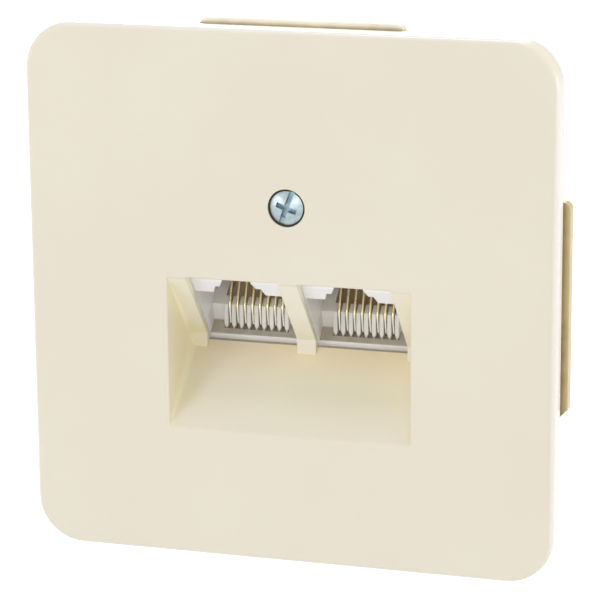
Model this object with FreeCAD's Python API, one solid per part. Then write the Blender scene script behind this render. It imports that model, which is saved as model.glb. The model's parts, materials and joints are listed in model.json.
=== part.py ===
import FreeCAD, Part
import os
from math import cos, hypot, pi, radians, sin, tan

# Flush wall outlet with two slanted modular data ports, in millimetres.
# +X is right, +Y goes into the wall, +Z is up.  The origin is the centre of the support ring
# on the wall plane: what lies at y < 0 stands in front of the wall.
#
# The two ports share a slanted frame, in which most inner pieces are built: x as in the part,
# n along the plug's way in, and u up along the face of the ports.  tilted() places it.

V = FreeCAD.Vector

# ---------------------------------------------------------------- support ring
RING_SIZE = 69.2            # across two opposite tabs
RING_THICKNESS = 1.5
RING_BODY_CHAMFER = 12.0
TAB_PROUD = 2.25            # tabs stand this far past the body's straight sides
TAB_SQUARE_LENGTH = 13.6    # from a tab's middle to its square end
TOP_FLANK_LENGTH = 11.8     # from the upper and lower tabs' middle to their 45-degree flank
SIDE_FLANK_LENGTH = 12.6    # the same on the left and right tabs
TAB_CORNER_R = 1.0
RING_WINDOW_CLEARANCE = 0.3
BOX_SCREW_SPACING = 60.0    # the wall box's screws
BOX_SLOT_LENGTH = 6.4
BOX_SLOT_R = 1.9
NUT_R = 2.4                 # pressed-in nut for the cover screw
NUT_PROUD = 2.2             # in front of the ring
NUT_SHANK_R = 1.95          # in the ring's hole
NUT_PRESS_GAP = 0.01

# ---------------------------------------------------------------- cover plate
PLATE_SIZE = 68.0
PLATE_CORNER_R = 6.0
PLATE_DEPTH = 3.2
PLATE_WALL = 2.0
PLATE_SKIRT = 1.8
PLATE_EDGE_R = 0.6
PLATE_STANDOFF = 5.0        # ring front to plate front
OPENING_WIDTH = 31.6
OPENING_TOP = 2.3
OPENING_BOTTOM = -17.4
RECESS_WALL = 1.0
FLOOR_WALL = 1.75           # measured straight down
CENTRE_RIB = 2.5
SIDE_BORDER = 2.5
LIP_LINE = 1.2              # above the housings' underside, on their faces: ribs and floor start from it
RIB_DEPTH = 1.2             # how far the ribs stand in front of that line
KNEE_OVER_LIP = 0.25
RIB_GAP = 0.15              # ribs to jack faces
FLOOR_PAST_RIB = 0.8
FLOOR_UNDER_LIP = 0.8
OPENING_EDGE_R = 0.3        # round the opening, on the plate's face
CORNER_FACE_R = 0.15        # the recess's inner corners, where they start at the plate's face
FLOOR_CORNER_R = 1.2        # between floor and side walls, at the floor's inner end
RIB_CORNER_R = 0.7          # between side borders and side walls, at the knee
FOOT_R = 1.5
FOOT_OFFSET = 21.0
STIFFENER_OFFSET = 28.0
STIFFENER_WIDTH = 1.2
STIFFENER_HEIGHT = 0.8

# ---------------------------------------------------------------- cover screw
SCREW_Z = 12.0
SCREW_R = 1.25
SCREW_HEAD_R = 2.12
SCREW_HEAD_RIM = 0.45
SCREW_HEAD_DOME = 0.45
SCREW_HEAD_SINK = 0.25      # rim below the plate's face
SCREW_TIP_GAP = 0.2         # tip to the ring's front
SCREW_SLOT_WIDTH = 0.65
SCREW_SLOT_DEPTH = 0.75
CROSS_LENGTH = 2.7
CROSS_DEPTH = 1.0
SCREW_TURN = 20.0           # how the slot stands, degrees from upright
SCREW_BOSS_R = 4.0
SCREW_MOUTH_CLEARANCE = 0.26
SCREW_HOLE_CLEARANCE = 0.15
THREAD_CLEARANCE = 0.1
RETAINER_THICKNESS = 0.5
RETAINER_R = 2.35

# ---------------------------------------------------------------- ports
PORT_TILT = 40.0            # plug axis above horizontal
PORT_PITCH = 14.64
PORT_DEPTH = 3.6            # plate front to the shoulder line, on the face of the ports
PORT_SHOULDER_Z = -0.2
PORT_WIDTH = 11.9
PORT_HEIGHT = 6.8           # where the plug sits
MOUTH_HEIGHT = 9.25         # in front of the comb
MOUTH_DEPTH = 2.1
MOUTH_RAMP = 0.9
KEY_WIDTH = 6.05
KEY_HEIGHT = 1.25
KEY_FLARE = 0.4             # how much each side of the step opens towards the plug
LATCH_WIDTH = 3.6
LATCH_HEIGHT = 1.3
LATCH_FLARE = 0.6
JACK_WIDTH = 14.2
JACK_LENGTH = 13.0
JACK_BACK_WALL = 1.5
JACK_TOP_WALL = 1.05
JACK_LIP = 1.0
JACK_BEHIND_PLATE = 0.15

CONTACT_COUNT = 8
CONTACT_PITCH = 1.016
WIRE_R = 0.18
WIRE_SINK = 0.15            # below the mouth's floor
WIRE_BEND_DEPTH = 1.5
WIRE_KNEE_DEPTH = 2.9
WIRE_TIP_N = 9.6
WIRE_TIP_RISE = 3.55
WIRE_BEND_R = 0.35
WIRE_KNEE_R = 1.2
WIRE_CLEARANCE = 0.09
COMB_START = 1.0
COMB_RAMP = 2.0
COMB_LENGTH = 3.4
RIB_WIDTH = 0.55
RIB_TIP = 0.15              # width of a comb rib's front end
RIB_NOSE = 0.4              # how far back it widens
INSERT_SILL = 1.2
INSERT_BACK_TOP = -1.6
INSERT_REACH = 0.6          # how far the wires' tips reach into its back wall
INSERT_SLOT_PAST_TIP = 0.5
FIT_GAP = 0.1

# ---------------------------------------------------------------- board and terminals
BOARD_THICKNESS = 1.6
BOARD_SIDE_GAP = 0.35
BOARD_TOP = 9.0
BOARD_BOTTOM = -21.0
BOARD_HOLE_R = 0.35
PEG_R = 0.8
PEG_X = 4.5
PEG_U = -2.6
ROW_STEP = 1.6
WIRE_PIN_PROUD = 0.5
BLOCK_END = 0.4
BLOCK_HEIGHT = 7.2
BLOCK_BASE = 4.0
BLOCK_DEPTH = 10.0
BLOCK_UPPER_U = 1.0
BLOCK_LOWER_U = -16.0
TERMINAL_PITCH = 3.9
TERMINAL_SLOT = 0.9
TERMINAL_GROOVE = 1.6
IDC_WIDTH = 2.4
IDC_THICKNESS = 0.5
IDC_SLIT = 0.3
IDC_SLIT_DEPTH = 3.6
IDC_SINK = 1.8
IDC_FOOT = 2.0
IDC_PIN = 0.6

# ---------------------------------------------------------------- carrier
CARRIER_WALL = 1.1
CARRIER_GAP = 0.15
SHELF_PLATE = 1.5
BOTTOM_PLATE = 1.25
TOP_PLATE_START = 7.0
BOTTOM_PLATE_START = 1.2
BOTTOM_WEB = 1.2            # stiffens the bottom plate's front edge
BOTTOM_WEB_HEIGHT = 1.4
FLANGE_THICKNESS = 2.2
FLANGE_MARGIN = 0.6         # round the ring screws' bosses
FLANGE_TOP_START = 17.2
HOOK_LENGTH = 3.0
HOOK_REACH = 0.8
HOOK_DEPTH = 1.5
HOOK_U = -6.5

RING_SCREW_X = 8.5
RING_SCREW_Z = 23.2
RING_SCREW_R = 1.15
RING_SCREW_HEAD_R = 2.2
RING_SCREW_HEAD = 1.4
RING_SCREW_LENGTH = 7.0
RING_SCREW_CLEARANCE = 0.2
RING_BOSS_R = 2.6
RING_BOSS_LENGTH = 6.0

BOARD_SCREW_X = 13.5
BOARD_SCREW_U = 6.9
BOARD_SCREW_R = 0.95
BOARD_SCREW_HEAD_R = 1.8
BOARD_SCREW_HEAD = 1.2
BOARD_SCREW_LENGTH = 4.0
BOARD_SCREW_CLEARANCE = 0.15
BOARD_BOSS_R = 1.9
BOARD_BOSS_LENGTH = 2.6

# ---------------------------------------------------------------- strain relief
CLAMP_SHELF_Y = 13.0
CLAMP_SHELF = 2.5
CLAMP_SHELF_TOP = -14.0
CLAMP_SHELF_BOTTOM = -22.5
CLAMP_Z = -18.5
CLAMP_GAP = 6.0
CLAMP_HEIGHT = 4.6
CLAMP_THICKNESS = 2.5
CLAMP_RIDGE = 0.6
CLAMP_LEG_X = 9.0
CLAMP_LEG_WIDTH = 1.8
CLAMP_LEG_PAST_SHELF = 2.0
CLAMP_TOOTH = 0.35
CLAMP_TOOTH_PITCH = 1.0
CLAMP_SLOT_CLEARANCE = 0.15

# ---------------------------------------------------------------- claws
PIVOT_CLEARANCE_X = 0.25    # carrier to the lugs
PIVOT_Y = 4.0
PIVOT_R = 0.8
PIVOT_CLEARANCE = 0.05
LUG_R = 1.9
LUG_THICKNESS = 1.2
LUG_GAP = 0.2
CLAW_SHEET = 1.2
CLAW_WIDTH = 11.6
CLAW_FOOT_Y = 9.0
CLAW_FOOT_X0 = -1.4         # from the pivot
CLAW_REACH = 7.4            # from the pivot to the arm's outer face
CLAW_LENGTH = 19.0
CLAW_EAR_R = 1.85
CLAW_TOOTH = 1.5
CLAW_TOOTH_COUNT = 4
CLAW_SWING = 25.0
CLAW_SCREW_OFFSET = 3.8     # from the pivot
CLAW_SCREW_R = 1.45
CLAW_SCREW_HEAD_R = 2.5
CLAW_SCREW_HEAD = 1.8
CLAW_SCREW_TIP_Y = 14.0
CLAW_SCREW_CLEARANCE = 0.15
CLAW_SLOT_CLEARANCE = 0.25

DRIVE_SLOT = 0.8            # slots and crosses of the hidden screws
DRIVE_DEPTH = 0.9

# ---------------------------------------------------------------- derived
PLATE_FRONT = -(RING_THICKNESS + PLATE_STANDOFF)
RING_FRONT = -RING_THICKNESS
RING_WINDOW_TOP = SCREW_Z - NUT_R - RING_WINDOW_CLEARANCE
RING_WINDOW_BOTTOM = OPENING_BOTTOM - FLOOR_WALL - RING_WINDOW_CLEARANCE
RING_BODY_SIZE = RING_SIZE - 2 * TAB_PROUD
FLANGE_BOTTOM_START = RING_WINDOW_BOTTOM - RING_WINDOW_CLEARANCE
CAVITY_DEPTH = JACK_LENGTH - JACK_BACK_WALL
WIRE_TRACK_U = -(MOUTH_HEIGHT + WIRE_SINK)
WIRE_KNEE = (WIRE_KNEE_DEPTH, -PORT_HEIGHT)
WIRE_TIP = (WIRE_TIP_N, WIRE_TIP_RISE - PORT_HEIGHT)
INSERT_TOP = WIRE_TRACK_U + INSERT_SILL
INSERT_BACK = WIRE_TIP_N - INSERT_REACH
JACK_TOP = KEY_HEIGHT + LATCH_HEIGHT + JACK_TOP_WALL
JACK_BOTTOM = -(MOUTH_HEIGHT + JACK_LIP)
BOARD_FRONT = JACK_LENGTH
BOARD_BACK = BOARD_FRONT + BOARD_THICKNESS
CARRIER_INNER = OPENING_WIDTH / 2 + RECESS_WALL + CARRIER_GAP
CARRIER_OUTER = CARRIER_INNER + CARRIER_WALL
BOARD_WIDTH = 2 * (CARRIER_INNER - BOARD_SIDE_GAP)
BLOCK_LENGTH = CONTACT_COUNT * TERMINAL_PITCH + 2 * BLOCK_END
FLANGE_WIDTH = 2 * (RING_SCREW_X + RING_BOSS_R + FLANGE_MARGIN)
FLANGE_REACH = RING_SCREW_Z + RING_BOSS_R + FLANGE_MARGIN
PIVOT_X = CARRIER_OUTER + PIVOT_CLEARANCE_X + LUG_R
CLAW_SCREW_X = PIVOT_X + CLAW_SCREW_OFFSET
SIDES = {"left": -1, "right": 1}


def box(x0, x1, y0, y1, z0, z1):
    """Block between two corners, given as ranges."""
    return Part.makeBox(x1 - x0, y1 - y0, z1 - z0, V(x0, y0, z0))


def rod(x, z, radius, y0, y1):
    """Cylinder along Y."""
    return Part.makeCylinder(radius, y1 - y0, V(x, y0, z), V(0, 1, 0))


def prism(points, x0, x1):
    """Polygon given as (y, z) points, extruded along X."""
    corners = [V(x0, y, z) for y, z in points]
    return Part.Face(Part.makePolygon(corners + corners[:1])).extrude(V(x1 - x0, 0, 0))


def plank(points, y0, y1):
    """Polygon given as (x, z) points, extruded along Y."""
    corners = [V(x, y0, z) for x, z in points]
    return Part.Face(Part.makePolygon(corners + corners[:1])).extrude(V(0, y1 - y0, 0))


def slab(points, z0, z1):
    """Polygon given as (x, y) points, extruded along Z."""
    corners = [V(x, y, z0) for x, y in points]
    return Part.Face(Part.makePolygon(corners + corners[:1])).extrude(V(0, 0, z1 - z0))


def union(shapes):
    """One clean solid out of overlapping ones."""
    return shapes[0].fuse(shapes[1:]).removeSplitter()


def mirrored(shape):
    """The same shape on the other side of the plane x = 0."""
    return shape.mirror(V(0, 0, 0), V(1, 0, 0))


def tilted(shape):
    """Place a shape built in the slanted frame of the ports."""
    turn = FreeCAD.Rotation(V(1, 0, 0), PORT_TILT)
    origin = V(0, PLATE_FRONT + PORT_DEPTH, PORT_SHOULDER_Z)
    placed = shape.copy()
    placed.Placement = FreeCAD.Placement(origin, turn).multiply(placed.Placement)
    return placed


def tilted_point(n, u):
    """Where a point of the slanted frame lies, as (y, z)."""
    tilt = radians(PORT_TILT)
    y = PLATE_FRONT + PORT_DEPTH + n * cos(tilt) - u * sin(tilt)
    z = PORT_SHOULDER_Z + n * sin(tilt) + u * cos(tilt)
    return y, z


def rounded_square(size, radius, y0, y1):
    """Square block with rounded corners, its axis along Y."""
    half = size / 2
    block = box(-half, half, y0, y1, -half, half)
    return block.makeFillet(radius, [e for e in block.Edges if along(e, V(0, 1, 0))])


def along(edge, direction):
    """True for a straight edge that runs along a direction."""
    if not isinstance(edge.Curve, Part.Line):
        return False
    return edge.tangentAt(edge.FirstParameter).cross(direction).Length < 1e-6


def contact_places():
    """x of each contact of a port, from the port's middle."""
    return [(i - (CONTACT_COUNT - 1) / 2) * CONTACT_PITCH for i in range(CONTACT_COUNT)]


def terminal_places():
    """x of each terminal of a strip."""
    return [(i - (CONTACT_COUNT - 1) / 2) * TERMINAL_PITCH for i in range(CONTACT_COUNT)]


# ================================================================ cover plate
def recess_profile():
    """Corner points of the recess in section, as (y, z): knee, rib foot and floor end."""
    lip_y, lip_z = tilted_point(0, JACK_BOTTOM + LIP_LINE)
    knee = (lip_y - RIB_DEPTH, lip_z + KNEE_OVER_LIP)
    floor_end = (knee[0] + FLOOR_PAST_RIB, lip_z - FLOOR_UNDER_LIP)
    slope = (floor_end[1] - OPENING_BOTTOM) / (floor_end[0] - PLATE_FRONT)
    rib_foot = (knee[0], OPENING_BOTTOM + slope * (knee[0] - PLATE_FRONT))
    return knee, rib_foot, floor_end


def rib_back_z(y):
    """Height of the ribs' back face at a depth y: parallel to the faces of the ports."""
    face_y, face_z = tilted_point(-RIB_GAP, 0)
    return face_z - (y - face_y) / tan(radians(PORT_TILT))


def recess_ribs():
    """Side borders and centre rib that frame the two port windows."""
    knee, rib_foot, floor_end = recess_profile()
    wall_back = PLATE_FRONT + PLATE_WALL
    section = [(PLATE_FRONT, OPENING_TOP), knee, rib_foot, floor_end,
               (floor_end[0], rib_back_z(floor_end[0])),
               (wall_back, rib_back_z(wall_back)), (wall_back, OPENING_TOP)]
    half = OPENING_WIDTH / 2
    ribs = prism(section, -half, half)
    for side in SIDES.values():
        inner = side * CENTRE_RIB / 2
        outer = side * (half - SIDE_BORDER)
        window = box(min(inner, outer), max(inner, outer), PLATE_FRONT, floor_end[0] + 1,
                     rib_foot[1] - 1, OPENING_TOP)
        ribs = ribs.cut(window)
    return ribs


def recess_shell():
    """Floor and side walls of the recess."""
    knee, rib_foot, floor_end = recess_profile()
    half = OPENING_WIDTH / 2
    outer = half + RECESS_WALL
    floor = prism([(PLATE_FRONT, OPENING_BOTTOM), floor_end,
                   (floor_end[0], floor_end[1] - FLOOR_WALL),
                   (PLATE_FRONT, OPENING_BOTTOM - FLOOR_WALL)], -outer, outer)
    side_section = [(PLATE_FRONT, OPENING_TOP + RECESS_WALL),
                    (PLATE_FRONT + PLATE_WALL, OPENING_TOP + RECESS_WALL),
                    (floor_end[0], rib_back_z(floor_end[0])),
                    (floor_end[0], floor_end[1] - FLOOR_WALL),
                    (PLATE_FRONT, OPENING_BOTTOM - FLOOR_WALL)]
    walls = [prism(side_section, half, outer), prism(side_section, -outer, -half)]
    return [floor] + walls


def screw_hole():
    """The cover screw's stepped hole through the plate and its boss."""
    rim = PLATE_FRONT + SCREW_HEAD_SINK + SCREW_HEAD_RIM
    mouth_r = SCREW_HEAD_R + SCREW_MOUTH_CLEARANCE
    hole_r = SCREW_R + SCREW_HOLE_CLEARANCE
    mouth = rod(0, SCREW_Z, mouth_r, PLATE_FRONT, rim)
    seat = Part.makeCone(mouth_r, hole_r, mouth_r - hole_r, V(0, rim, SCREW_Z), V(0, 1, 0))
    bore = rod(0, SCREW_Z, hole_r, PLATE_FRONT, RING_FRONT)
    relief_start = RING_FRONT - NUT_PROUD - RETAINER_THICKNESS - 3 * FIT_GAP
    relief = rod(0, SCREW_Z, NUT_R + FIT_GAP, relief_start, RING_FRONT)
    return [mouth, seat, bore, relief]


def cover_plate():
    """Cream centre plate with its slanted recess."""
    body = rounded_square(PLATE_SIZE, PLATE_CORNER_R, PLATE_FRONT, PLATE_FRONT + PLATE_DEPTH)
    front_edges = [e for e in body.Edges if e.BoundBox.YMax < PLATE_FRONT + 1e-6]
    body = body.makeFillet(PLATE_EDGE_R, front_edges)
    inner = rounded_square(PLATE_SIZE - 2 * PLATE_SKIRT, PLATE_CORNER_R - PLATE_SKIRT,
                           PLATE_FRONT + PLATE_WALL, PLATE_FRONT + PLATE_DEPTH + 1)
    half = OPENING_WIDTH / 2
    opening = box(-half, half, PLATE_FRONT - 1, PLATE_FRONT + PLATE_WALL + 1,
                  OPENING_BOTTOM, OPENING_TOP)
    body = body.cut([inner, opening])
    wall_back = PLATE_FRONT + PLATE_WALL
    pieces = [body, recess_ribs()] + recess_shell()
    pieces.append(rod(0, SCREW_Z, SCREW_BOSS_R, wall_back, RING_FRONT))
    for x in (-FOOT_OFFSET, FOOT_OFFSET):
        for z in (-FOOT_OFFSET, FOOT_OFFSET):
            pieces.append(rod(x, z, FOOT_R, wall_back, RING_FRONT))
    reach = PLATE_SIZE / 2 - PLATE_SKIRT
    for offset in (-STIFFENER_OFFSET, STIFFENER_OFFSET):
        low = offset - STIFFENER_WIDTH / 2
        high = offset + STIFFENER_WIDTH / 2
        pieces.append(box(low, high, wall_back, wall_back + STIFFENER_HEIGHT, -reach, reach))
        pieces.append(box(-reach, reach, wall_back, wall_back + STIFFENER_HEIGHT, low, high))
    body = union(pieces).cut(screw_hole())
    body = soften_recess(body)
    return body.makeFillet(OPENING_EDGE_R, opening_edges(body))


def soften_recess(body):
    """Round the inner corners between the side walls and the floor and borders."""
    knee, rib_foot, floor_end = recess_profile()
    for side in SIDES.values():
        x = side * OPENING_WIDTH / 2
        body = grown_fillet(body, x, (PLATE_FRONT, OPENING_BOTTOM), rib_foot, FLOOR_CORNER_R)
        body = grown_fillet(body, x, (PLATE_FRONT, OPENING_TOP), knee, RIB_CORNER_R)
    return body


def grown_fillet(body, x, face_end, deep_end, deep_r):
    """Fillet on the edge between two (y, z) points, its radius growing away from the plate's face."""
    middle = V(x, (face_end[0] + deep_end[0]) / 2, (face_end[1] + deep_end[1]) / 2)
    edge = min(body.Edges, key=lambda e: e.CenterOfMass.distanceToPoint(middle))
    if edge.valueAt(edge.FirstParameter).y < edge.valueAt(edge.LastParameter).y:
        return body.makeFillet(CORNER_FACE_R, deep_r, [edge])
    return body.makeFillet(deep_r, CORNER_FACE_R, [edge])


def opening_edges(body):
    """Straight edges of the opening on the plate's face."""
    half = OPENING_WIDTH / 2 + 1e-6
    return [e for e in body.Edges if isinstance(e.Curve, Part.Line)
            and e.BoundBox.YMax < PLATE_FRONT + 1e-6 and e.BoundBox.XMin > -half
            and e.BoundBox.XMax < half and e.BoundBox.ZMin > OPENING_BOTTOM - 1e-6
            and e.BoundBox.ZMax < OPENING_TOP + 1e-6]


def cover_screw():
    """Countersunk screw with a raised head, a slot and a cross recess."""
    rim_front = PLATE_FRONT + SCREW_HEAD_SINK
    rim_back = rim_front + SCREW_HEAD_RIM
    sphere_r = (SCREW_HEAD_R ** 2 + SCREW_HEAD_DOME ** 2) / (2 * SCREW_HEAD_DOME)
    dome = Part.makeSphere(sphere_r, V(0, rim_front - SCREW_HEAD_DOME + sphere_r, SCREW_Z))
    dome = dome.common(rod(0, SCREW_Z, SCREW_HEAD_R, rim_front - 1, rim_front))
    rim = rod(0, SCREW_Z, SCREW_HEAD_R, rim_front, rim_back)
    cone = Part.makeCone(SCREW_HEAD_R, SCREW_R, SCREW_HEAD_R - SCREW_R, V(0, rim_back, SCREW_Z),
                         V(0, 1, 0))
    shank = rod(0, SCREW_Z, SCREW_R, rim_back, RING_FRONT - SCREW_TIP_GAP)
    crest = rim_front - SCREW_HEAD_DOME
    half = SCREW_SLOT_WIDTH / 2
    slot = box(-half, half, crest - 1, crest + SCREW_SLOT_DEPTH,
               SCREW_Z - SCREW_HEAD_R - 1, SCREW_Z + SCREW_HEAD_R + 1)
    reach = CROSS_LENGTH / 2
    cross = [box(-half, half, crest - 1, crest + CROSS_DEPTH, SCREW_Z - reach, SCREW_Z + reach),
             box(-reach, reach, crest - 1, crest + CROSS_DEPTH, SCREW_Z - half, SCREW_Z + half)]
    screw = union([dome, rim, cone, shank]).cut([slot] + cross)
    screw.rotate(V(0, 0, SCREW_Z), V(0, 1, 0), SCREW_TURN)
    return screw


def screw_retainer():
    """Washer on the screw's shank, inside the plate's boss."""
    back = RING_FRONT - NUT_PROUD - FIT_GAP
    front = back - RETAINER_THICKNESS
    ring = rod(0, SCREW_Z, RETAINER_R, front, back)
    return ring.cut(rod(0, SCREW_Z, SCREW_R + THREAD_CLEARANCE, front, back))


# ================================================================ support ring
def ring_outline():
    """Chamfered square with four tabs."""
    half = RING_BODY_SIZE / 2
    cut = half - RING_BODY_CHAMFER
    corners = [(half, cut), (cut, half), (-cut, half), (-half, cut),
               (-half, -cut), (-cut, -half), (cut, -half), (half, -cut)]
    points = [V(x, RING_FRONT, z) for x, z in corners]
    body = Part.Face(Part.makePolygon(points + points[:1])).extrude(V(0, RING_THICKNESS, 0))
    return union([body] + ring_tabs())


def tab_outline(flank_length, reach, slope):
    """Corners of a tab on the upper side: its flank on the left, its square end on the right."""
    return [(-flank_length, reach), (TAB_SQUARE_LENGTH, reach), (TAB_SQUARE_LENGTH, reach - slope),
            (-flank_length - slope, reach - slope)]


def ring_tabs():
    """Four tabs: the flanks face two opposite corners, the square ends the other two."""
    reach = RING_SIZE / 2
    slope = reach - RING_BODY_SIZE / 2 + RING_THICKNESS
    tabs = []
    for side in (1, -1):
        top = [V(side * x, RING_FRONT, side * z) for x, z in tab_outline(TOP_FLANK_LENGTH, reach, slope)]
        across = [V(side * z, RING_FRONT, side * x) for x, z in tab_outline(SIDE_FLANK_LENGTH, reach, slope)]
        for points in (top, across):
            tab = Part.Face(Part.makePolygon(points + points[:1])).extrude(V(0, RING_THICKNESS, 0))
            corner = max(points, key=lambda p: p.Length)
            edges = [e for e in tab.Edges if along(e, V(0, 1, 0))
                     and hypot(e.Vertexes[0].X - corner.x, e.Vertexes[0].Z - corner.z) < 1e-6]
            tabs.append(tab.makeFillet(TAB_CORNER_R, edges))
    return tabs


def box_screw_slots():
    """Four slots for the wall box's screws, pointing at the middle of the ring."""
    reach = BOX_SLOT_LENGTH / 2 - BOX_SLOT_R
    slots = []
    for turn in range(4):
        middle = BOX_SCREW_SPACING / 2
        slot = union([box(middle - reach, middle + reach, RING_FRONT, 0, -BOX_SLOT_R, BOX_SLOT_R),
                      rod(middle - reach, 0, BOX_SLOT_R, RING_FRONT, 0),
                      rod(middle + reach, 0, BOX_SLOT_R, RING_FRONT, 0)])
        slot.rotate(V(0, 0, 0), V(0, 1, 0), 90 * turn)
        slots.append(slot)
    return slots


def claw_lugs():
    """Two lugs on one side, bent back from the ring to carry a claw's pin."""
    inside = CLAW_WIDTH / 2 + LUG_GAP
    lugs = []
    for z in (inside, -inside - LUG_THICKNESS):
        lug = box(PIVOT_X - LUG_R, PIVOT_X + LUG_R, RING_FRONT, PIVOT_Y, z, z + LUG_THICKNESS)
        end = Part.makeCylinder(LUG_R, LUG_THICKNESS, V(PIVOT_X, PIVOT_Y, z), V(0, 0, 1))
        hole = Part.makeCylinder(PIVOT_R, LUG_THICKNESS, V(PIVOT_X, PIVOT_Y, z), V(0, 0, 1))
        lugs.append(union([lug, end]).cut(hole))
    return lugs


def ring_screw_places():
    return [(x, z) for x in (-RING_SCREW_X, RING_SCREW_X) for z in (-RING_SCREW_Z, RING_SCREW_Z)]


def support_ring():
    """Sheet-steel ring that sits on the wall."""
    window_half = CARRIER_INNER + CARRIER_GAP
    window = box(-window_half, window_half, RING_FRONT - 1, 1, RING_WINDOW_BOTTOM, RING_WINDOW_TOP)
    cuts = [window] + box_screw_slots()
    for x, z in ring_screw_places():
        cuts.append(rod(x, z, RING_SCREW_R + RING_SCREW_CLEARANCE, RING_FRONT, 0))
    for side in SIDES.values():
        cuts.append(rod(side * CLAW_SCREW_X, 0, CLAW_SCREW_R + CLAW_SCREW_CLEARANCE, RING_FRONT, 0))
    ring = ring_outline().cut(cuts)
    lugs = claw_lugs()
    ring = union([ring] + lugs + [mirrored(lug) for lug in lugs])
    return ring.cut(rod(0, SCREW_Z, NUT_SHANK_R + NUT_PRESS_GAP, RING_FRONT, 0))


def cover_nut():
    """Round nut pressed into the ring, which takes the cover screw."""
    head = rod(0, SCREW_Z, NUT_R, RING_FRONT - NUT_PROUD, RING_FRONT)
    shank = rod(0, SCREW_Z, NUT_SHANK_R, RING_FRONT, 0)
    thread = rod(0, SCREW_Z, SCREW_R + THREAD_CLEARANCE, RING_FRONT - NUT_PROUD, 0)
    return union([head, shank]).cut(thread)


# ================================================================ ports
def port_x(side):
    return side * PORT_PITCH / 2


def jack_cavity():
    """Plug opening with its stepped keyway for the latch and its ramped mouth."""
    rooms = [box(-PORT_WIDTH / 2, PORT_WIDTH / 2, -1, CAVITY_DEPTH, -PORT_HEIGHT, 0)]
    steps = ((KEY_WIDTH, 0, KEY_HEIGHT, KEY_FLARE), (LATCH_WIDTH, KEY_HEIGHT, LATCH_HEIGHT, LATCH_FLARE))
    for width, low, height, flare in steps:
        wide = width / 2 + flare
        step = [(-wide, low), (-width / 2, low + height), (width / 2, low + height), (wide, low)]
        rooms.append(plank(step, -1, CAVITY_DEPTH))
    mouth = [(-1, -PORT_HEIGHT), (-1, -MOUTH_HEIGHT), (MOUTH_DEPTH, -MOUTH_HEIGHT),
             (MOUTH_DEPTH + MOUTH_RAMP, -PORT_HEIGHT)]
    rooms.append(prism(mouth, -PORT_WIDTH / 2, PORT_WIDTH / 2))
    return union(rooms)


def comb_half_width():
    return CONTACT_COUNT * CONTACT_PITCH / 2 + RIB_WIDTH / 2


def wire_channel():
    """Pocket under the opening that holds the contacts and lets their tails out at the back."""
    floor = WIRE_TRACK_U - WIRE_R - WIRE_CLEARANCE
    half = comb_half_width()
    pocket = box(-half, half, COMB_START, CAVITY_DEPTH, floor, -PORT_HEIGHT)
    way_out = box(-half, half, CAVITY_DEPTH - 1, JACK_LENGTH,
                  floor, WIRE_TRACK_U + ROW_STEP + WIRE_R + WIRE_CLEARANCE)
    return [pocket, way_out]


def comb_ribs():
    """Ribs between the contacts, each with a pointed nose and a ramp at its front."""
    floor = WIRE_TRACK_U - WIRE_R - WIRE_CLEARANCE
    end = COMB_START + COMB_LENGTH
    section = [(COMB_START, floor), (COMB_START, -MOUTH_HEIGHT), (COMB_START + COMB_RAMP, -PORT_HEIGHT),
               (end, -PORT_HEIGHT), (end, floor)]
    ribs = []
    for i in range(CONTACT_COUNT + 1):
        x = (i - CONTACT_COUNT / 2) * CONTACT_PITCH
        left = x - RIB_WIDTH / 2
        right = x + RIB_WIDTH / 2
        nose = [(left, end), (left, COMB_START + RIB_NOSE), (x - RIB_TIP / 2, COMB_START),
                (x + RIB_TIP / 2, COMB_START), (right, COMB_START + RIB_NOSE), (right, end)]
        ribs.append(prism(section, left, right).common(slab(nose, floor, -PORT_HEIGHT)))
    return ribs


def jack_housing(side):
    """White housing of one port."""
    half = JACK_WIDTH / 2
    body = box(-half, half, 0, JACK_LENGTH, JACK_BOTTOM, JACK_TOP)
    body = body.cut([jack_cavity()] + wire_channel())
    pegs = [rod(x, PEG_U, PEG_R, JACK_LENGTH - 1, BOARD_BACK) for x in (-PEG_X, PEG_X)]
    body = union([body] + comb_ribs() + pegs)
    body.translate(V(port_x(side), 0, 0))
    body = tilted(body)
    front = PLATE_FRONT + PLATE_WALL + JACK_BEHIND_PLATE
    in_front = box(-PLATE_SIZE, PLATE_SIZE, front - PLATE_SIZE, front, -PLATE_SIZE, PLATE_SIZE)
    return body.cut(in_front)


def contact_carrier(side):
    """Dark insert behind the comb: a sill under the wires and a slotted wall behind them."""
    half = comb_half_width() - FIT_GAP
    bottom = WIRE_TRACK_U + WIRE_R + FIT_GAP / 2
    back = CAVITY_DEPTH - FIT_GAP
    start = COMB_START + COMB_LENGTH + FIT_GAP
    section = [(start, bottom), (start, INSERT_TOP), (INSERT_BACK, INSERT_TOP),
               (INSERT_BACK, INSERT_BACK_TOP), (back, INSERT_BACK_TOP), (back, bottom)]
    body = prism(section, -half, half)
    slot_half = WIRE_R + WIRE_CLEARANCE
    cuts = []
    for x in contact_places():
        cuts.append(box(x - slot_half, x + slot_half, INSERT_BACK - 1,
                        WIRE_TIP_N + INSERT_SLOT_PAST_TIP, INSERT_TOP, INSERT_BACK_TOP))
    body = body.cut(cuts)
    body.translate(V(port_x(side), 0, 0))
    return tilted(body)


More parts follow.
